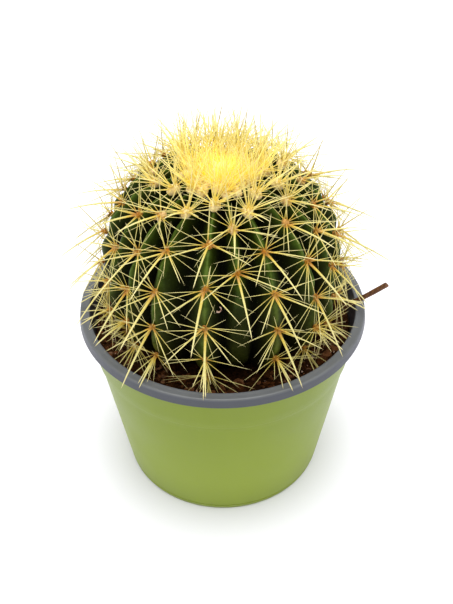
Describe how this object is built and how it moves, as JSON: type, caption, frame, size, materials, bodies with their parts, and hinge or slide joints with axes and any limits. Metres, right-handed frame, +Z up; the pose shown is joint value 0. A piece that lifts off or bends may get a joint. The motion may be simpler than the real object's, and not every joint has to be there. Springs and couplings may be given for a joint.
{
  "type": "potted round cactus",
  "caption": "Round ribbed cactus with golden spines, growing in soil in a round two-tone plastic pot with a flat rim.",
  "frame": {"origin": "centre of the pot's flat underside", "axes": "+Z up through the pot's axis; -Y is the side that the plant leans towards a little; +X is the side with the twig"},
  "size_m": [0.1636, 0.1601, 0.2145],
  "materials": {
    "green_plastic": "satin",
    "grey_plastic": "satin",
    "soil": "matte",
    "stem_skin": "satin",
    "root_skin": "matte",
    "crown_felt": "matte",
    "spines": "satin",
    "bark": "matte",
    "grit": "matte"
  },
  "bodies": {
    "root": {"pot_shell": "green_plastic", "pot_liner": "grey_plastic", "soil": "soil", "stem": "stem_skin", "roots": "root_skin", "crown_wool": "crown_felt", "crown_spines": "spines", "spine_row_01": "spines", "spine_row_02": "spines", "spine_row_03": "spines", "spine_row_04": "spines", "spine_row_05": "spines", "spine_row_06": "spines", "spine_row_07": "spines", "spine_row_08": "spines", "spine_row_09": "spines", "spine_row_10": "spines", "spine_row_11": "spines", "spine_row_12": "spines", "spine_row_13": "spines", "spine_row_14": "spines", "spine_row_15": "spines", "spine_row_16": "spines", "spine_row_17": "spines", "spine_row_18": "spines", "spine_row_19": "spines", "spine_row_20": "spines", "clod_1": "bark", "clod_2": "bark", "clod_3": "bark", "clod_4": "bark", "clod_5": "bark", "clod_6": "bark", "grit_1": "grit", "grit_2": "grit", "grit_3": "grit", "twig": "bark"}
  },
  "joints": []
}
